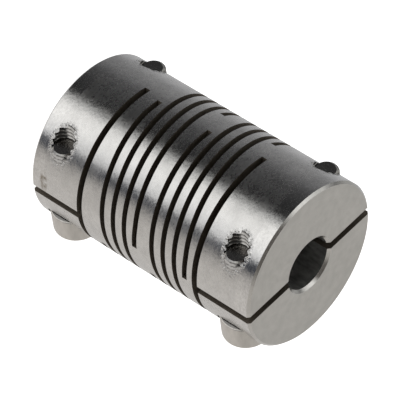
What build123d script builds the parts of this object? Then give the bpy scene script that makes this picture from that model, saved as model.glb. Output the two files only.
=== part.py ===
"""Flexible beam coupling with a split clamping hub at each end.

One bar is turned, bored and slit: two sets of helical slits leave the thin beams
that bend, and a clamp slot with a relief slit behind it splits each hub into two
jaws. Two cap screws pull the jaws of each hub together on the shaft.

Millimetres. The coupling stands on the end face of its lower hub. +Z runs up the
shaft axis, -Y is the side that the screw tips show on, and the origin is on the
axis, in the lower end face.
"""

from build123d import *
import math
import os

# The bar
length = 40.0
outer_diameter = 25.0
edge_chamfer = 0.35

# The bore
bore_diameter = 8.0
bore_chamfer = 0.4
recess_step = 0.7  # on the radius, opened out between the hubs so the shafts clear the beams

# The hubs
hub_lengths = {"lower": 9.15, "upper": 9.65}  # end face to the middle of the relief slit
relief_width = 0.95
relief_floor = 3.25  # how far past the axis the relief slit is sawn
clamp_gap = 1.25

# The beams
slit_starts = 3
slit_sets = 2
slit_width = 0.85
slit_sweep = 458.0  # degrees from one end of a slit to the other
slit_dwell = 17.0  # degrees cut square to the axis at each end of a slit
first_slit_angle = -11.0  # degrees from -Y, towards +X
margin_below = 3.05  # lower relief slit to the first set
margin_above = 1.8  # last set to the upper relief slit
set_spacing = 1.95  # end of one set to the start of the next

# The clamp screws
thread_diameter = 4.0
thread_clearance = 0.03  # on the radius, between the screw and its tapped hole
screw_length = 12.0
tip_chamfer = 0.4
head_diameter = 7.0
head_height = 4.0
head_rounding = 0.45
socket_across_flats = 3.0
socket_depth = 2.0
socket_point_angle = 120.0
socket_turn = 25.0  # degrees that each screw's socket stops past the one before

# Where the screws sit in a hub
screw_to_face = 4.2
screw_to_axis = 9.0
hole_clearance = 0.25  # on the radius, round the screw in the jaw under its head
seat_depths = {"left": 3.7, "right": 4.1}  # middle of the clamp slot to each seat
seat_clearance = 0.25  # on the radius, round the head

# How far each cutter runs past the surface that it leaves by
cutter_overrun = 0.6

outer_radius = outer_diameter / 2
bore_radius = bore_diameter / 2
thread_radius = thread_diameter / 2
head_radius = head_diameter / 2
recess_radius = bore_radius + recess_step
relief_heights = {"lower": hub_lengths["lower"], "upper": length - hub_lengths["upper"]}
screw_heights = {"lower": screw_to_face, "upper": length - screw_to_face}
screw_sides = {"left": -screw_to_axis, "right": screw_to_axis}
slit_room = relief_heights["upper"] - relief_heights["lower"] - margin_below - margin_above
slit_rise = (slit_room - (slit_sets - 1) * set_spacing) / slit_sets
from_seat = (Align.CENTER, Align.CENTER, Align.MIN)


def turned_bar():
    """The bar after turning and boring, as one revolved profile."""
    profile = make_face(
        Polyline(
            (bore_radius + bore_chamfer, 0),
            (outer_radius - edge_chamfer, 0),
            (outer_radius, edge_chamfer),
            (outer_radius, length - edge_chamfer),
            (outer_radius - edge_chamfer, length),
            (bore_radius + bore_chamfer, length),
            (bore_radius, length - bore_chamfer),
            (bore_radius, relief_heights["upper"]),
            (recess_radius, relief_heights["upper"]),
            (recess_radius, relief_heights["lower"]),
            (bore_radius, relief_heights["lower"]),
            (bore_radius, bore_chamfer),
            close=True,
        )
    )
    return revolve(Plane.XZ * profile, axis=Axis.Z)


def slit_cutter():
    """One slit that starts at +X: a square start, a helix and a square end."""
    inner = recess_radius - cutter_overrun
    outer = outer_radius + cutter_overrun
    middle = (inner + outer) / 2
    section = Plane.XZ * Pos(middle, 0) * Rectangle(outer - inner, slit_width)
    dwell = revolve(section, axis=Axis.Z, revolution_arc=slit_dwell)
    helix_sweep = slit_sweep - 2 * slit_dwell
    path = Helix(pitch=slit_rise * 360 / helix_sweep, height=slit_rise, radius=middle)
    ramp = Rot(Z=slit_dwell) * sweep(section, path=path, is_frenet=True)
    stop = Pos(0, 0, slit_rise) * Rot(Z=slit_dwell + helix_sweep) * dwell
    return dwell + ramp + stop


def slit_cutters():
    """Every slit of every set, spaced evenly round the shaft axis."""
    cutter = slit_cutter()
    first_height = relief_heights["lower"] + margin_below
    cutters = []
    for set_number in range(slit_sets):
        height = first_height + set_number * (slit_rise + set_spacing)
        for start in range(slit_starts):
            angle = first_slit_angle - 90 + start * 360 / slit_starts
            cutters.append(Pos(0, 0, height) * Rot(Z=angle) * cutter)
    return cutters


def hub_slots(hub):
    """The relief slit behind a hub, and the clamp slot that splits the hub."""
    reach = outer_radius + cutter_overrun
    height = relief_heights[hub]
    relief = Pos((reach - relief_floor) / 2, 0, height) * Box(
        reach + relief_floor, 2 * reach, relief_width
    )
    slot_length = hub_lengths[hub] + cutter_overrun
    outwards = 1 if hub == "upper" else -1
    slot = Pos(0, 0, height + outwards * slot_length / 2) * Box(
        2 * reach, clamp_gap, slot_length
    )
    return [relief, slot]


def screw_place(side, hub):
    """A screw's seat, with the local +Z from the head towards the tip."""
    return Pos(screw_sides[side], seat_depths[side], screw_heights[hub]) * Rot(X=90)


def screw_hole(side, hub):
    """Head pocket and clearance hole in one jaw, tapped hole in the other."""
    seat_depth = seat_depths[side]
    reach = outer_radius + cutter_overrun + seat_depth
    pocket = Rot(X=180) * Cylinder(head_radius + seat_clearance, reach, align=from_seat)
    clearance = Cylinder(thread_radius + hole_clearance, seat_depth, align=from_seat)
    thread = Cylinder(thread_radius + thread_clearance, reach, align=from_seat)
    tapped = Pos(0, 0, seat_depth) * thread
    place = screw_place(side, hub)
    return [place * cut for cut in (pocket, clearance, tapped)]


def coupling_body():
    """Both hubs and the beams between them, from one bar."""
    cutters = slit_cutters()
    for hub in relief_heights:
        cutters += hub_slots(hub)
        for side in screw_sides:
            cutters += screw_hole(side, hub)
    return turned_bar() - cutters


def socket():
    """Hexagon socket from the top of the head, with its drill's conical floor."""
    flat = socket_across_flats / 2
    corner = flat / math.cos(math.radians(30))
    point = flat / math.tan(math.radians(socket_point_angle / 2))
    hexagon = extrude(RegularPolygon(corner, 6), socket_depth)
    floor = Pos(0, 0, socket_depth) * Cone(flat, 0, point, align=from_seat)
    return Pos(0, 0, -head_height) * (hexagon + floor)


def cap_screw():
    """Socket head cap screw with its seat at the origin and its tip up +Z."""
    profile = make_face(
        Polyline(
            (0, -head_height),
            (head_radius, -head_height),
            (head_radius, 0),
            (thread_radius, 0),
            (thread_radius, screw_length - tip_chamfer),
            (thread_radius - tip_chamfer, screw_length),
            (0, screw_length),
            close=True,
        )
    )
    rim = profile.vertices().sort_by_distance((head_radius, -head_height))[0]
    profile = fillet(rim, head_rounding)
    return revolve(Plane.XZ * profile, axis=Axis.Z) - socket()


def placed_screws():
    """The four screws on their seats, each with its own socket angle."""
    screw = cap_screw()
    placed = {}
    for hub in screw_heights:
        for side in screw_sides:
            turn = Rot(Z=socket_turn * len(placed))
            placed[f"clamp_screw_{hub}_{side}"] = screw_place(side, hub) * turn * screw
    return placed


os.makedirs("parts", exist_ok=True)
export_step(coupling_body(), "parts/coupling_body.step")
for name, screw in placed_screws().items():
    export_step(screw, f"parts/{name}.step")
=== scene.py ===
"""A beam coupling, put together as it is made: the bar is turned, bored, slit and tapped,
then its four clamp screws go in, and it stands on its lower end face in a light tent.

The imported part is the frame: the shaft axis is +Z and the screws' tips point to -Y.
Solids are worked out in millimetres and turned into metres as their meshes are made.
"""

import math

import bmesh
import bpy
import numpy as np
from mathutils import Matrix, Vector


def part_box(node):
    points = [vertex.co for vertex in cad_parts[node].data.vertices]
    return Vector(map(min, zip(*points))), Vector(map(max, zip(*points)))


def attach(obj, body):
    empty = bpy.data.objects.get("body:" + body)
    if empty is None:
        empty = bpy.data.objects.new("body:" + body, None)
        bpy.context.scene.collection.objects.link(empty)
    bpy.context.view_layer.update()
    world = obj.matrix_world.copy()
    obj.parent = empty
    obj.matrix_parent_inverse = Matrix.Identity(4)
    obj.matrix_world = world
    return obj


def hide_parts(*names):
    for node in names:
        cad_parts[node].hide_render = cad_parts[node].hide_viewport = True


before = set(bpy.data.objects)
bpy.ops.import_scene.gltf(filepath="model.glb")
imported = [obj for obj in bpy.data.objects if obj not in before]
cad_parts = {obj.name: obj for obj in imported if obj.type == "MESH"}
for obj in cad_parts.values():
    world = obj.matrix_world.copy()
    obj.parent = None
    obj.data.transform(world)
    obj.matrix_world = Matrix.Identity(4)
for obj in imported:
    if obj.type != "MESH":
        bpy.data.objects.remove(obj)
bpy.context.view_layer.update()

# ---------------------------------------------------------------------------------------
# The bar. It is a length of free-cutting stainless steel, turned and bored in one
# chucking, which leaves fine tool marks round the shaft axis on every face of it. The
# ends are faced duller than the outside, and the bore's walls get painted shade.

MM = 0.001
bar_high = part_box("coupling_body")[1]
bar_length = round(bar_high.z / MM, 3)
bar_radius = round(bar_high.x / MM, 2)
end_chamfer = 0.35
bore_radius = 4.0
bore_chamfer = 0.4
recess_radius = 4.7
lower_relief = 9.15
upper_relief = bar_length - 9.65
bar_facets = 288

turned_colour = (0.63, 0.625, 0.615)
edge_colour = (0.62, 0.61, 0.59)
faced_colour = (0.49, 0.483, 0.463)
# Painted shade: the bore is painted a darker grey than the outside, for the shade inside it.
bore_shade_colour = (0.30, 0.30, 0.295)
shaded_wall_metal = 0.6  # how metallic the walls painted dark as painted shade look


def place(tree, kind, inputs=None, **settings):
    """Adds a node with its settings and its inputs, each a value or another output."""
    node = tree.nodes.new(kind)
    for name, value in settings.items():
        setattr(node, name, value)
    for socket, value in (inputs or {}).items():
        if isinstance(value, bpy.types.NodeSocket):
            tree.links.new(value, node.inputs[socket])
        else:
            node.inputs[socket].default_value = value
    return node


def amount(tree, operation, *values, **settings):
    """The result of one sum on numbers."""
    inputs = dict(enumerate(values))
    return place(tree, "ShaderNodeMath", inputs, operation=operation, **settings).outputs[0]


def vector(tree, operation, *values):
    """The result of one sum on vectors."""
    inputs = dict(enumerate(values))
    return place(tree, "ShaderNodeVectorMath", inputs, operation=operation).outputs[0]


def scaled(tree, start, factor):
    """A vector or a colour times a number."""
    inputs = {0: start, "Scale": factor}
    return place(tree, "ShaderNodeVectorMath", inputs, operation="SCALE").outputs[0]


def length_of(tree, line):
    """How long a vector is."""
    return place(tree, "ShaderNodeVectorMath", {0: line}, operation="LENGTH").outputs["Value"]


def noise(tree, where, scale, detail=2.0, roughness=0.5):
    """A soft random value from 0 to 1 that changes with the place."""
    inputs = {"Vector": where, "Scale": scale, "Detail": detail, "Roughness": roughness}
    return place(tree, "ShaderNodeTexNoise", inputs).outputs["Fac"]


def ranged(tree, value, start, stop, least=0.0, most=1.0, **settings):
    """Turns the range from start to stop into the one from least to most, and stays in it."""
    limits = {"Value": value, "From Min": start, "From Max": stop, "To Min": least, "To Max": most}
    return place(tree, "ShaderNodeMapRange", limits, **settings).outputs[0]


def spread_of(tree, value, least, most):
    """Turns the middle of a noise's range into a range of its own."""
    return ranged(tree, value, 0.3, 0.7, least, most)


def effect(name, inputs, outputs):
    """A node group with named inputs and outputs, both its ends, and where a point is."""
    group = bpy.data.node_groups.new(name, "ShaderNodeTree")
    for socket, value in inputs.items():
        made = group.interface.new_socket(socket, in_out="INPUT", socket_type="NodeSocketFloat")
        made.default_value = value
    for socket in outputs:
        group.interface.new_socket(socket, in_out="OUTPUT", socket_type="NodeSocketFloat")
    given = group.nodes.new("NodeGroupInput").outputs
    out = group.nodes.new("NodeGroupOutput").inputs
    return group, given, out, place(group, "ShaderNodeTexCoord").outputs["Object"]


def tool_marks():
    """Streaks that run round the local Z axis, fine across and long along the cut."""
    usual = {"Lines per mm": 5.0, "Drift": 6.0}
    group, given, out, where = effect("tool_marks", usual, ["Height", "Tone"])
    flat = vector(group, "MULTIPLY", where, (1, 1, 0))
    around = scaled(group, vector(group, "NORMALIZE", flat), given["Drift"])
    height = place(group, "ShaderNodeSeparateXYZ", {0: where}).outputs["Z"]
    travel = amount(group, "ADD", height, length_of(group, flat))
    lines = amount(group, "MULTIPLY", given["Lines per mm"], 1 / MM)
    across = place(group, "ShaderNodeCombineXYZ", {"Z": amount(group, "MULTIPLY", travel, lines)})
    point = vector(group, "ADD", around, across.outputs[0])
    group.links.new(noise(group, point, 1.0, detail=3.0), out["Height"])
    group.links.new(noise(group, point, 0.22), out["Tone"])
    return group


def handling_marks():
    """Small scattered pits and soft smears, as left by deburring and handling."""
    smears_per_metre = 280.0
    usual = {"Specks per mm": 3.0}
    group, given, out, where = effect("handling_marks", usual, ["Specks", "Smears"])
    size = amount(group, "MULTIPLY", given["Specks per mm"], 1 / MM)
    specks = noise(group, where, size, roughness=0.6)
    group.links.new(ranged(group, specks, 0.68, 0.78), out["Specks"])
    group.links.new(noise(group, where, smears_per_metre, detail=3.0), out["Smears"])
    return group


marks_group = tool_marks()
handling_group = handling_marks()


def steel(
    name,
    colour,
    rough,
    grooves=0.5,
    stretch=0.0,
    lines=4.0,
    drift=30.0,
    streaks=0.06,
    specks=0.2,
    ripple=0.0,
    haze=0.0,
    grain=0.0,
    metal=1.0,
):
    """Machined steel: tool marks in its tone, gloss and relief, with a few dark specks."""
    gloss_spread = 0.05
    mark_depth = 0.02
    material = bpy.data.materials.new(name)
    material.use_nodes = True
    tree = material.node_tree
    shader = tree.nodes["Principled BSDF"].inputs
    marks = place(tree, "ShaderNodeGroup", {"Lines per mm": lines, "Drift": drift}, node_tree=marks_group)
    height, tone = marks.outputs["Height"], marks.outputs["Tone"]
    handling = place(tree, "ShaderNodeGroup", node_tree=handling_group)
    smears = handling.outputs["Smears"]

    streak = spread_of(tree, tone, 1 - streaks, 1 + streaks)
    smear = spread_of(tree, smears, 1 - streaks / 2, 1 + streaks / 2)
    loss = amount(tree, "MULTIPLY", handling.outputs["Specks"], specks)
    kept = amount(tree, "SUBTRACT", spread_of(tree, height, 1 - grain, 1 + grain), loss)
    level = amount(tree, "MULTIPLY", amount(tree, "MULTIPLY", streak, smear), kept)
    tree.links.new(scaled(tree, colour, level), shader["Base Color"])

    gloss = spread_of(tree, height, rough - gloss_spread, rough + gloss_spread)
    patches = spread_of(tree, smears, -haze, haze)
    tree.links.new(amount(tree, "ADD", gloss, patches), shader["Roughness"])

    waves = amount(tree, "MULTIPLY", tone, ripple)
    depth = amount(tree, "MULTIPLY_ADD", height, grooves, waves)
    relief = place(tree, "ShaderNodeBump", {"Strength": 1.0, "Distance": mark_depth * MM, "Height": depth})
    tree.links.new(relief.outputs[0], shader["Normal"])

    shader["Metallic"].default_value = metal
    if stretch:
        shader["Anisotropic"].default_value = stretch
        shader["Anisotropic Rotation"].default_value = 0.25
        along_marks = place(tree, "ShaderNodeTangent", direction_type="RADIAL", axis="Z")
        tree.links.new(along_marks.outputs[0], shader["Tangent"])
    return material


turned_steel = steel(
    "turned_skin",
    turned_colour,
    0.28,
    grooves=0.75,
    stretch=0.85,
    lines=3.4,
    drift=27.0,
    specks=0.15,
    ripple=1.2,
    haze=0.05,
    grain=0.1,
)
edge_steel = steel("edge_steel", edge_colour, 0.22, grooves=0.3)
faced_steel = steel(
    "faced_steel", faced_colour, 0.50, grooves=0.4, stretch=0.2, streaks=0.05, grain=0.04
)
# Painted shade: the bore's dark colour stands in for the shade inside the bore.
shaded_bored_steel = steel("shaded_bored_steel", bore_shade_colour, 0.40, lines=3.0, streaks=0.35, metal=shaded_wall_metal)

skimmed_gloss = 0.72  # how rough a skimmed band is, as a share of the rest
stain_colour = (0.24, 0.21, 0.17, 1)
stain_middle = (12.3, -2.3, 2.35)
stain_reach = (4.0, 1.9, 0.72)


def end_bands():
    """Where a last light cut skims the bar: 1 from an end up to the band's edge, then 0."""
    group, given, out, where = effect("end_bands", {"Width mm": 2.6, "Blend mm": 0.3}, ["Skimmed"])
    height = place(group, "ShaderNodeSeparateXYZ", {0: where}).outputs["Z"]
    offset = amount(group, "SUBTRACT", amount(group, "MULTIPLY", height, 1 / MM), bar_length / 2)
    depth = amount(group, "SUBTRACT", bar_length / 2, amount(group, "ABSOLUTE", offset))
    inside = amount(group, "SUBTRACT", given["Width mm"], depth)
    share = amount(group, "DIVIDE", inside, given["Blend mm"], use_clamp=True)
    group.links.new(share, out["Skimmed"])
    return group


def brown_stain():
    """One old stain on the lower hub, a short blotchy streak beside the clamp slot."""
    group, given, out, where = effect("brown_stain", {"Blotches per mm": 1.5}, ["Stain"])
    middle = tuple(value * MM for value in stain_middle)
    shrink = tuple(1 / (value * MM) for value in stain_reach)
    away = vector(group, "MULTIPLY", vector(group, "SUBTRACT", where, middle), shrink)
    inside = ranged(group, length_of(group, away), 0.5, 1.1, 1.0, 0.0)
    size = amount(group, "MULTIPLY", given["Blotches per mm"], 1 / MM)
    blotches = spread_of(group, noise(group, where, size), 0.0, 1.3)
    group.links.new(amount(group, "MULTIPLY", inside, blotches), out["Stain"])
    return group


outside = turned_steel.node_tree
roughness = outside.nodes["Principled BSDF"].inputs["Roughness"]
skim = place(outside, "ShaderNodeGroup", node_tree=end_bands()).outputs["Skimmed"]
calmer = ranged(outside, skim, 0.0, 1.0, 1.0, skimmed_gloss)
outside.links.new(amount(outside, "MULTIPLY", roughness.links[0].from_socket, calmer), roughness)

paint = outside.nodes["Principled BSDF"].inputs["Base Color"]
stain = place(outside, "ShaderNodeGroup", node_tree=brown_stain()).outputs["Stain"]
clean = paint.links[0].from_socket
stained = place(outside, "ShaderNodeMix", {0: stain, 6: clean, 7: stain_colour}, data_type="RGBA")
outside.links.new(stained.outputs[2], paint)


def skin(name, rings, finishes, looped=False):
    """A closed solid over rings of points. It has one finish for each band between two
    rings, or one for all, and ends in flat caps unless the last ring joins the first."""
    rings = np.asarray(rings, float)
    count, around = rings.shape[:2]
    bands = count if looped else count - 1
    faces = []
    for band in range(bands):
        here, there = band * around, (band + 1) % count * around
        for j in range(around):
            k = (j + 1) % around
            faces.append((here + j, here + k, there + k, there + j))
    if not looped:
        faces.append(tuple(range(around)))
        faces.append(tuple(range((count - 1) * around, count * around)))
    mesh = bpy.data.meshes.new(name)
    mesh.from_pydata((rings.reshape(-1, 3) * MM).tolist(), [], faces)
    if not isinstance(finishes, list):
        finishes = [finishes] * bands
    for finish in dict.fromkeys(finishes):
        mesh.materials.append(finish)
    slots = [mesh.materials.find(finish.name) for finish in finishes]
    picked = np.repeat(slots, around).tolist() + ([] if looped else [slots[0], slots[-1]])
    mesh.polygons.foreach_set("material_index", picked)
    work = bmesh.new()
    work.from_mesh(mesh)
    bmesh.ops.recalc_face_normals(work, faces=work.faces)
    work.to_mesh(mesh)
    work.free()
    solid = bpy.data.objects.new(name, mesh)
    bpy.context.scene.collection.objects.link(solid)
    return solid


def ring(radius, height, facets):
    """Points round the Z axis, with one radius for all or one for each point."""
    turn = np.arange(facets) * 2 * math.pi / facets
    return np.stack([radius * np.cos(turn), radius * np.sin(turn), np.full(facets, height)], axis=1)


def turned_rings(outline, facets):
    """Rings round the Z axis, one for each (radius, height) point of an outline."""
    return [ring(radius, height, facets) for radius, height in outline]


bar_outline = [
    (bar_radius - end_chamfer, 0),
    (bar_radius, end_chamfer),
    (bar_radius, bar_length - end_chamfer),
    (bar_radius - end_chamfer, bar_length),
    (bore_radius + bore_chamfer, bar_length),
    (bore_radius, bar_length - bore_chamfer),
    (bore_radius, upper_relief),
    (recess_radius, upper_relief),
    (recess_radius, lower_relief),
    (bore_radius, lower_relief),
    (bore_radius, bore_chamfer),
    (bore_radius + bore_chamfer, 0),
]
bar_finishes = [edge_steel, turned_steel, edge_steel, faced_steel, edge_steel] + [shaded_bored_steel] * 5
bar_finishes += [edge_steel, faced_steel]
body = skin("beam_coupling_body", turned_rings(bar_outline, bar_facets), bar_finishes, looped=True)

# ---------------------------------------------------------------------------------------
# The slits. Two sets of three are milled through the wall on a helix and leave the thin
# beams that bend. A straight relief slit is sawn behind each hub from the +X side, and a
# clamp slot splits the hub from its end face up to that slit.

slit_starts = 3
slit_width = 0.85
slit_sweep = 458.0
slit_dwell = 17.0
first_slit_angle = -11.0
slit_rise = 7.2
first_slit_height = 12.2
set_spacing = 1.95
relief_width = 0.95
relief_floor = 3.25
clamp_gap = 1.25
overrun = 0.6
slit_step = 2.0

# Painted shade: the walls of the slits, slots and head pockets are painted dark brown for the shade deep
# inside them.
sawn_shade_colour = (0.165, 0.142, 0.115)
shaded_sawn_steel = steel("shaded_sawn_steel", sawn_shade_colour, 0.55, grooves=0.8, metal=shaded_wall_metal)


def cut(piece, cutter):
    """Cuts a cutter out of a piece and leaves the cutter's finish on the new walls."""
    step = piece.modifiers.new("cut", "BOOLEAN")
    step.operation = "DIFFERENCE"
    step.solver = "MANIFOLD"
    step.material_mode = "TRANSFER"
    step.object = cutter
    shown = piece.evaluated_get(bpy.context.evaluated_depsgraph_get())
    made = bpy.data.meshes.new_from_object(shown)
    piece.modifiers.clear()
    piece.data = made
    bpy.data.objects.remove(cutter)


def slit_cutter(start_angle, start_height):
    """One helical slit: square to the axis at each end, and rising between."""
    inner, outer = recess_radius - overrun, bar_radius + overrun
    half = slit_width / 2
    corners = [(inner, -half), (outer, -half), (outer, half), (inner, half)]
    angles = np.arange(0, slit_sweep + slit_step / 2, slit_step)
    rises = np.clip((angles - slit_dwell) / (slit_sweep - 2 * slit_dwell), 0, 1) * slit_rise
    rings = []
    for angle, height in zip(np.radians(angles + start_angle - 90), rises + start_height):
        across, along = math.cos(angle), math.sin(angle)
        rings.append([(across * radius, along * radius, height + up) for radius, up in corners])
    return skin("slit", rings, shaded_sawn_steel)


def block(low, high):
    """A square-edged cutter between two corners."""
    (x0, y0, z0), (x1, y1, z1) = low, high
    rings = [[(x0, y0, z), (x1, y0, z), (x1, y1, z), (x0, y1, z)] for z in (z0, z1)]
    return skin("block", rings, shaded_sawn_steel)


for height in (first_slit_height, first_slit_height + slit_rise + set_spacing):
    for start in range(slit_starts):
        cut(body, slit_cutter(first_slit_angle + start * 360 / slit_starts, height))

reach = bar_radius + overrun
saw = relief_width / 2
gap = clamp_gap / 2
for height, end in ((lower_relief, -overrun), (upper_relief, bar_length + overrun)):
    cut(body, block((-relief_floor, -reach, height - saw), (reach, reach, height + saw)))
    cut(body, block((-reach, -gap, min(height, end)), (reach, gap, max(height, end))))

# ---------------------------------------------------------------------------------------
# The screw holes. Each crosses a hub beside the bore: a flat-bottomed pocket for the
# head, a clearance hole down to the clamp slot, and an M4 thread tapped right through
# the other jaw, which comes out ragged where it breaks the round outside.

thread_pitch = 0.7
tap_crest = 1.93
tap_root = 1.61
crest_flat = 1 / 16  # half of the crest's flat, in pitches
flank_foot = 3 / 8  # where a flank meets its root, in pitches from the crest
head_height = 4.0
clearance_radius = 2.25
pocket_radius = 3.75
land_radius = 2.5
land_height = 0.14
hole_facets = 48
pocket_facets = 64
steps_per_pitch = 14

burr_reach = (1.95, 2.5)  # from the hole's axis
burr_rise = 4.0  # against 1 for the tool marks' own relief
root_shade_edges = (1.68, 1.88)  # from the hole's axis: unshaded inside the first, painted shade past the second
# how much of the colour the painted shade leaves
root_shade_tone = 0.3
drilled_colour = (0.38, 0.37, 0.355)
drilled_steel = steel("drilled_steel", drilled_colour, 0.14, grooves=0.4, lines=6.0)

seats = {}
for hub in ("lower", "upper"):
    for side in ("left", "right"):
        low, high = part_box(f"clamp_screw_{hub}_{side}")
        middle = (low + high) / 2 / MM
        under_head = round(high.y / MM, 1) - head_height
        seats[f"{hub}_{side}"] = (round(middle.x, 1), under_head, round(middle.z, 1))


def stand_at(seat):
    """The seat under a screw's head, with local +Z from the head towards the tip."""
    return Matrix.Translation(Vector(seat) * MM) @ Matrix.Rotation(math.pi / 2, 4, "X")


def ragged_lips():
    """Burrs round the mouths of the tapped holes, and how far it is to a hole's axis."""
    usual = {"Inner mm": burr_reach[0], "Outer mm": burr_reach[1]}
    group, given, out, where = effect("ragged_lips", usual, ["Burr", "From Axis mm"])
    spots = place(group, "ShaderNodeSeparateXYZ", {0: scaled(group, where, 1 / MM)}).outputs
    across, _, along = seats["upper_right"]
    offsets = []
    for axis, middle, hole in (("X", 0.0, across), ("Z", bar_length / 2, along)):
        from_middle = amount(group, "ABSOLUTE", amount(group, "SUBTRACT", spots[axis], middle))
        offsets.append(amount(group, "SUBTRACT", from_middle, hole - middle))
    offset = place(group, "ShaderNodeCombineXYZ", {"X": offsets[0], "Y": offsets[1]}).outputs[0]
    distance = length_of(group, offset)
    lip = ranged(group, distance, given["Inner mm"], given["Outer mm"], 1.0, 0.0)
    torn = noise(group, where, 2.4 / MM, roughness=0.6)
    scraps = ranged(group, torn, 0.45, 0.7)
    group.links.new(amount(group, "MULTIPLY", scraps, lip), out["Burr"])
    group.links.new(distance, out["From Axis mm"])
    return group


lips_group = ragged_lips()
relief = outside.nodes["Bump"].inputs["Height"]
burr = place(outside, "ShaderNodeGroup", node_tree=lips_group).outputs["Burr"]
raised = amount(outside, "MULTIPLY_ADD", burr, burr_rise, relief.links[0].from_socket)
outside.links.new(raised, relief)

drilled = drilled_steel.node_tree
paint = drilled.nodes["Principled BSDF"].inputs["Base Color"]
from_axis = place(drilled, "ShaderNodeGroup", node_tree=lips_group).outputs["From Axis mm"]
# Painted shade: the hole walls darken away from the hole's axis, in the thread roots and all over the
# clearance holes.
root_shade = ranged(drilled, from_axis, *root_shade_edges, 1.0, root_shade_tone)
drilled.links.new(scaled(drilled, paint.links[0].from_socket, root_shade), paint)


def thread_rings(crest, root, start, end, facets, tip_chamfer=0.0, run_in=0.0):
    """Rings of a right-hand 60 degree thread, tapered over its tip and first turn."""
    turn = np.arange(facets) / facets
    rings = []
    for travel in np.linspace(start, end, round((end - start) / thread_pitch * steps_per_pitch) + 1):
        phase = (travel / thread_pitch - turn) % 1.0
        off_crest = np.minimum(phase, 1 - phase)
        rise = np.clip((flank_foot - off_crest) / (flank_foot - crest_flat), 0, 1)
        radius = root + (crest - root) * rise
        if tip_chamfer:
            radius = np.minimum(radius, crest - tip_chamfer + (end - travel))
        if run_in and travel - start < run_in:
            radius = crest + (radius - crest) * (travel - start) / run_in
        rings.append(ring(radius, travel, facets))
    return rings


for seat in seats.values():
    jaw = seat[1]
    floor = [(land_radius, 0), (land_radius, land_height), (pocket_radius, land_height)]
    sunk = turned_rings(floor + [(pocket_radius, -reach)], pocket_facets)
    through = turned_rings([(clearance_radius, -overrun), (clearance_radius, jaw)], pocket_facets)
    thread = thread_rings(tap_crest, tap_root, jaw, jaw + reach, hole_facets)
    # The pocket walls carry the same painted shade as the sawn walls.
    pocket = skin("pocket", sunk, shaded_sawn_steel)
    passage = skin("passage", through, drilled_steel)
    tapped = skin("tapped", thread, drilled_steel)
    for cutter in (pocket, passage, tapped):
        cutter.matrix_world = stand_at(seat)
        bpy.context.view_layer.update()
        cut(body, cutter)


def deburr(piece):
    """Takes off the slivers that the cuts leave, and the points that no corner needs."""
    sliver, crumb = 0.001 * MM, 0.05 * MM
    least_bend, crumb_bend = 0.02, 0.5
    work = bmesh.new()
    work.from_mesh(piece.data)
    bmesh.ops.dissolve_degenerate(work, dist=sliver, edges=work.edges)
    spare = []
    for point in work.verts:
        shortest = min(edge.calc_length() for edge in point.link_edges)
        bend = crumb_bend if shortest < crumb else least_bend
        if 0 <= point.calc_edge_angle(-1) < bend:
            spare.append(point)
    bmesh.ops.dissolve_verts(work, verts=spare)
    work.to_mesh(piece.data)
    work.free()


def true_normals(piece, radius, sharp_angle):
    """Smooth shading with crisp edges, and exact round normals on the turned outside."""
    tolerance = 0.002
    mesh = piece.data
    mesh.shade_smooth()
    mesh.set_sharp_from_angle(angle=math.radians(sharp_angle))
    normals = np.array([corner.vector for corner in mesh.corner_normals])
    corner_points = np.empty(len(mesh.loops), np.int32)
    mesh.loops.foreach_get("vertex_index", corner_points)
    points = np.array([vertex.co for vertex in mesh.vertices])[corner_points]
    on_skin = np.hypot(points[:, 0], points[:, 1]) > (radius - tolerance) * MM
    turned = np.zeros(len(mesh.loops), bool)
    slot = mesh.materials.find(turned_steel.name)
    for face in mesh.polygons:
        loops = slice(face.loop_start, face.loop_start + face.loop_total)
        if on_skin[loops].all() and abs(face.normal.z) < 0.5:
            face.material_index = slot
            turned[loops] = True
    round_way = points * (1, 1, 0)
    round_way /= np.maximum(np.linalg.norm(round_way, axis=1, keepdims=True), 1e-9)
    normals[turned] = round_way[turned]
    mesh.normals_split_custom_set(normals.tolist())


deburr(body)
true_normals(body, bar_radius, sharp_angle=35)
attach(body, "root")
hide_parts("coupling_body")

# ---------------------------------------------------------------------------------------
# The clamp screws. They are M4 x 12 socket head cap screws of plain stainless steel,
# cold headed, with rolled threads and a pressed hexagon socket. Their heads seat in the
# pockets and their tips come out just short of the outside of the other jaw.

screw_length = 12.0
screw_crest = 1.9
screw_root = 1.58
thread_start = 0.3
tip_chamfer = 0.4
neck_length = 0.7
neck_radius = 1.95
neck_blend = 0.15
head_radius = 3.5
head_rounding = 0.5
seat_rounding = 0.2
head_facets = 96
socket_flat = 1.5
socket_corner = socket_flat / math.cos(math.radians(30))
socket_depth = 2.0
socket_point_radius = 0.25
socket_point_depth = 0.7
socket_countersink = 0.15
countersink_depth = 0.35
socket_turn = 25.0
crease_angle = 40.0

screw_colour = (0.60, 0.58, 0.55)
rolled_colour = (0.30, 0.29, 0.28)
tip_colour = (0.42, 0.41, 0.395)
screw_steel = steel("headed_steel", screw_colour, 0.34, grooves=0.4, lines=3.0, specks=0.3)
rolled_steel = steel("rolled_steel", rolled_colour, 0.16, grooves=0.3)
bearing_steel = steel("bearing_steel", tip_colour, 0.09, grooves=0.1, lines=6.0)
tip_steel = steel("tip_steel", tip_colour, 0.17, grooves=0.3, lines=8.0, streaks=0.2, ripple=0.6)


def head_outline():
    """The head from the start of its rounded rim down to its rounded underside."""
    outline = []
    for degrees in range(0, 91, 10):
        turn = math.radians(degrees)
        over, back = math.sin(turn) - 1, 1 - math.cos(turn)
        outline.append((head_radius + head_rounding * over, -head_height + head_rounding * back))
    for degrees in range(0, 91, 15):
        turn = math.radians(degrees)
        over, back = math.cos(turn) - 1, math.sin(turn) - 1
        outline.append((head_radius + seat_rounding * over, seat_rounding * back))
    return outline


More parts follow.
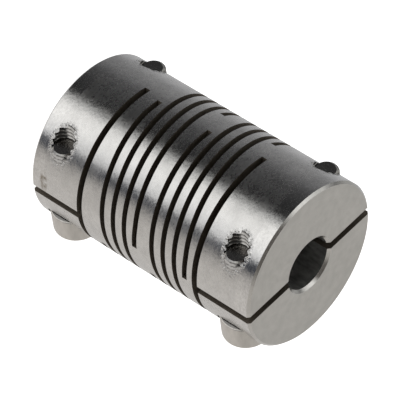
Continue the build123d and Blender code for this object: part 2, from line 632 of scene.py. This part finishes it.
def socket_cutter(turn):
    """The hexagon socket with its drill-pointed floor."""
    angles = np.radians(np.arange(6) * 60 + turn)
    floor = socket_depth - head_height
    outline = [(socket_corner, -head_height - overrun), (socket_corner, floor)]
    outline.append((socket_point_radius, floor + socket_point_depth))
    rings = [[(r * math.cos(a), r * math.sin(a), height) for a in angles] for r, height in outline]
    return skin("socket", rings, screw_steel)


def countersink_cutter():
    """A 45 degree funnel that takes the corners off the socket's mouth."""
    rim = socket_corner + socket_countersink
    outline = [(rim + overrun, -head_height - overrun)]
    outline.append((rim - countersink_depth, -head_height + countersink_depth))
    return skin("countersink", turned_rings(outline, head_facets), screw_steel)


def cap_screw(name, turn):
    """One screw with its seat at the origin and its tip up +Z."""
    head = turned_rings(head_outline(), head_facets)
    neck = turned_rings([(neck_radius + neck_blend, 0), (neck_radius, neck_blend)], head_facets)
    shank = thread_rings(
        screw_crest, screw_root, thread_start, screw_length, head_facets, tip_chamfer, neck_length
    )
    cone = round(tip_chamfer / thread_pitch * steps_per_pitch)
    finishes = [screw_steel] * (len(head) - 1) + [bearing_steel] * 3
    finishes += [rolled_steel] * (len(shank) - 1 - cone) + [tip_steel] * cone
    screw = skin(name, head + neck + shank, finishes)
    cut(screw, socket_cutter(turn))
    cut(screw, countersink_cutter())
    deburr(screw)
    screw.data.shade_smooth()
    screw.data.set_sharp_from_angle(angle=math.radians(crease_angle))
    return screw


for number, (place_name, seat) in enumerate(seats.items()):
    screw = cap_screw(f"cap_screw_{place_name}", number * socket_turn)
    screw.matrix_world = stand_at(seat)
    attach(screw, "root")
    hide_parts(f"clamp_screw_{place_name}")

# ---------------------------------------------------------------------------------------
# The studio. The coupling stands on a plain white table in a light tent: the tent's
# walls are strips of soft light and shade that stand round it, and what the steel shows
# is their reflection. The table lights nothing but itself.

table_radius = 1500.0
table_thickness = 20.0
table_facets = 96
backdrop_colour = (0.8, 0.8, 0.8, 1)

scene = bpy.context.scene
scene.view_settings.view_transform = "Standard"

table_paper = bpy.data.materials.new("table_paper")
table_paper.use_nodes = True
paper = table_paper.node_tree.nodes["Principled BSDF"].inputs
paper["Base Color"].default_value = (0.9, 0.9, 0.9, 1)
paper["Roughness"].default_value = 1.0
paper["Specular IOR Level"].default_value = 0.0
paper["Emission Color"].default_value = (1, 1, 1, 1)
paper["Emission Strength"].default_value = 1.0
table_outline = [(table_radius, -table_thickness), (table_radius, 0)]
table = skin("table", turned_rings(table_outline, table_facets), table_paper)
table.visible_glossy = False

# Strips of the tent by the way they face, in degrees from -Y towards +X.
wall_strips = [
    (-180, (0.67, 0.65, 0.63)),
    (-158, (0.68, 0.67, 0.66)),
    (-143, (0.60, 0.60, 0.61)),
    (-132, (0.57, 0.57, 0.58)),
    (-116, (0.52, 0.52, 0.53)),
    (-104, (0.46, 0.46, 0.47)),
    (-92, (0.29, 0.29, 0.295)),
    (-72, (0.225, 0.225, 0.23)),
    (-58, (0.15, 0.15, 0.155)),
    (-46, (0.076, 0.076, 0.078)),
    (-16, (0.032, 0.032, 0.033)),
    (-2, (0.042, 0.042, 0.042)),
    (9, (0.75, 0.75, 0.74)),
    (16, (1.20, 1.19, 1.17)),
    (34, (1.36, 1.35, 1.33)),
    (50, (1.12, 1.12, 1.12)),
    (60, (0.90, 0.90, 0.91)),
    (67, (0.09, 0.095, 0.11)),
    (76, (0.07, 0.075, 0.09)),
    (86, (0.46, 0.44, 0.42)),
    (100, (0.66, 0.63, 0.60)),
    (130, (0.72, 0.69, 0.66)),
    (180, (0.67, 0.65, 0.63)),
]
hood_strips = [
    (-180, (0.60, 0.58, 0.56)),
    (-140, (0.90, 0.88, 0.86)),
    (-116, (0.50, 0.50, 0.49)),
    (-101, (0.38, 0.38, 0.37)),
    (-90, (0.18, 0.18, 0.18)),
    (-84, (0.30, 0.30, 0.30)),
    (-77, (0.80, 0.80, 0.78)),
    (-66, (0.80, 0.80, 0.78)),
    (-56, (0.08, 0.08, 0.08)),
    (36, (0.05, 0.05, 0.05)),
    (46, (0.90, 0.90, 0.88)),
    (60, (0.90, 0.90, 0.88)),
    (68, (0.10, 0.10, 0.10)),
    (92, (0.10, 0.10, 0.10)),
    (118, (0.58, 0.56, 0.53)),
    (180, (0.60, 0.58, 0.56)),
]
roof_strips = [
    (-180, (0.70, 0.68, 0.65)),
    (-125, (0.80, 0.78, 0.75)),
    (-105, (0.35, 0.34, 0.33)),
    (-86, (0.24, 0.24, 0.23)),
    (-74, (0.90, 0.90, 0.88)),
    (-58, (1.15, 1.15, 1.13)),
    (-36, (1.15, 1.15, 1.13)),
    (-18, (0.60, 0.60, 0.58)),
    (-5, (0.12, 0.11, 0.10)),
    (85, (0.15, 0.14, 0.13)),
    (105, (0.50, 0.48, 0.45)),
    (180, (0.70, 0.68, 0.65)),
]

# Where the hood and the roof take over, as the height of the way that they face.
hood_edge = (-0.05, 0.12)
roof_edge = (0.58, 0.70)


def strips_ramp(tree, share, strips):
    """The colour of the strip that faces each way."""
    ramp = place(tree, "ShaderNodeValToRGB", {0: share})
    stops = ramp.color_ramp.elements
    for degrees, colour in strips[1:-1]:
        stops.new(degrees / 360 + 0.5)
    for stop, (degrees, colour) in zip(stops, strips):
        stop.position = degrees / 360 + 0.5
        stop.color = (*colour, 1)
    return ramp.outputs["Color"]


tent = bpy.data.worlds.new("light_tent")
scene.world = tent
tent.use_nodes = True
tent.cycles.sampling_method = "NONE"
tree = tent.node_tree
looking = place(tree, "ShaderNodeTexCoord").outputs["Generated"]
way = place(tree, "ShaderNodeSeparateXYZ", {0: looking}).outputs
front = amount(tree, "MULTIPLY", way["Y"], -1.0)
share = amount(tree, "MULTIPLY_ADD", amount(tree, "ARCTAN2", way["X"], front), 1 / (2 * math.pi), 0.5)
lit = strips_ramp(tree, share, wall_strips)
for edge, strips in ((hood_edge, hood_strips), (roof_edge, roof_strips)):
    above = ranged(tree, way["Z"], *edge, interpolation_type="SMOOTHSTEP")
    upper = strips_ramp(tree, share, strips)
    lit = place(tree, "ShaderNodeMix", {0: above, 6: lit, 7: upper}, data_type="RGBA").outputs[2]
camera_ray = place(tree, "ShaderNodeLightPath").outputs["Is Camera Ray"]
seen = place(tree, "ShaderNodeMix", {0: camera_ray, 6: lit, 7: backdrop_colour}, data_type="RGBA")
tree.links.new(seen.outputs[2], tree.nodes["Background"].inputs["Color"])

# ---------------------------------------------------------------------------------------
# The camera. It looks down on the coupling with a long lens, and is rolled well over, so
# that the shaft axis slopes down to the right with the upper hub nearest.

camera_azimuth = 31.3
camera_elevation = 29.6
camera_roll = 121.3
camera_distance = 445.1
camera_aim = (0.12, 0.22, 20.22)
camera_lens = 291.8
camera_sensor = 36.0

camera = bpy.data.objects.new("camera", bpy.data.cameras.new("camera"))
scene.collection.objects.link(camera)
scene.camera = camera
camera.data.sensor_width = camera_sensor
camera.data.lens = camera_lens
aim = Matrix.Translation(Vector(camera_aim) * MM)
turn = Matrix.Rotation(math.radians(camera_azimuth), 4, "Z")
tilt = Matrix.Rotation(math.radians(90 - camera_elevation), 4, "X")
roll = Matrix.Rotation(math.radians(camera_roll), 4, "Z")
back = Matrix.Translation((0, 0, camera_distance * MM))
camera.matrix_world = aim @ turn @ tilt @ roll @ back
